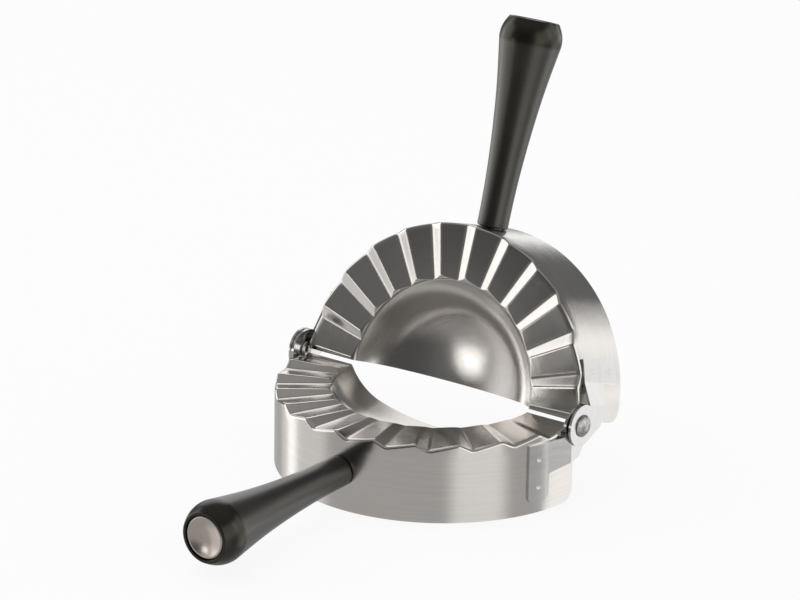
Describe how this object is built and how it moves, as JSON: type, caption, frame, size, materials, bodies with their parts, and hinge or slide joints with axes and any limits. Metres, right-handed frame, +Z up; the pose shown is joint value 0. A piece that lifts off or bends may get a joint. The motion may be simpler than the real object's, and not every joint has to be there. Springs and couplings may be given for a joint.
{
  "type": "empanada press",
  "caption": "Hinged steel press that cuts a round of dough with its wall, then folds and crimps it into a fluted half-moon.",
  "frame": {"origin": "centre of the round that the cutter edges make, on the surface the front half rests on, under the middle of the hinge line", "axes": "+X along the hinge line, +Y from the front half towards the raised rear half, +Z up"},
  "size_m": [0.137, 0.2117, 0.1652],
  "materials": {
    "pressed_steel": "satin",
    "bracket_steel": "satin",
    "rivet_steel": "polished",
    "washer_nylon": "matte",
    "grip_plastic": "semi-matte, fine grain",
    "cap_steel": "satin",
    "fixing_steel": "zinc plated"
  },
  "bodies": {
    "front_half": {"front_shell": "pressed_steel", "front_bracket_left": "bracket_steel", "front_bracket_right": "bracket_steel", "front_grip": "grip_plastic", "front_grip_cap": "cap_steel", "front_grip_boss": "fixing_steel", "front_grip_screw": "fixing_steel", "front_lock_washer": "fixing_steel", "hinge_rivet_left": "rivet_steel", "hinge_rivet_right": "rivet_steel", "hinge_washer_left": "washer_nylon", "hinge_washer_right": "washer_nylon"},
    "rear_half": {"rear_shell": "pressed_steel", "rear_bracket_left": "bracket_steel", "rear_bracket_right": "bracket_steel", "rear_grip": "grip_plastic", "rear_grip_cap": "cap_steel", "rear_grip_boss": "fixing_steel", "rear_grip_screw": "fixing_steel", "rear_lock_washer": "fixing_steel"}
  },
  "joints": [
    {"name": "hinge", "type": "hinge", "parent": "front_half", "child": "rear_half", "pos_m": [0, 0, 0.0303], "axis": [1, 0, 0], "range_deg": [-72, 108]}
  ]
}
